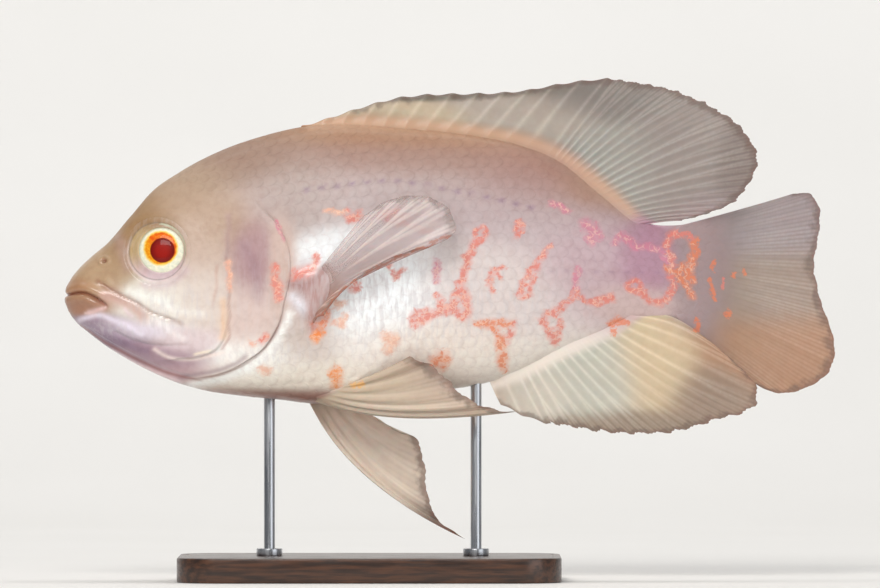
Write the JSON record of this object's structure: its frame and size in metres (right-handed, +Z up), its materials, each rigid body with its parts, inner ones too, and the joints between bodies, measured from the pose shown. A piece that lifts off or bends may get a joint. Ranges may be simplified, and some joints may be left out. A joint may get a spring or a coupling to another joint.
{
  "type": "oscar fish model",
  "caption": "Life-size model of a pale, orange-marked oscar cichlid swimming with spread fins, held by rods over a flat display base.",
  "frame": {"origin": "middle of the underside of the stand's base", "axes": "+Z up, the fish swims towards -X, its left side is towards -Y"},
  "size_m": [0.2509, 0.072, 0.163],
  "materials": {
    "skin": "moist pale skin with small scales and orange net markings",
    "gill_cover": "smooth pale skin over a bony plate",
    "fin": "thin pale membrane over fine rays",
    "eye": "wet eye with a red pupil and an orange and silver iris",
    "stand": "dark stained wood with a satin varnish",
    "rod": "brushed steel"
  },
  "bodies": {
    "root": {"head": "skin", "lower_jaw": "skin", "gill_cover_left": "gill_cover", "gill_cover_right": "gill_cover", "trunk": "skin", "tail_stalk": "skin", "eye_left": "eye", "eye_right": "eye", "dorsal_fin": "fin", "anal_fin": "fin", "tail_fin": "fin", "pectoral_fin_left": "fin", "pectoral_fin_right": "fin", "pelvic_fin_left": "fin", "pelvic_fin_right": "fin", "stand_base": "stand", "stand_rod_front": "rod", "stand_rod_rear": "rod"}
  },
  "joints": []
}
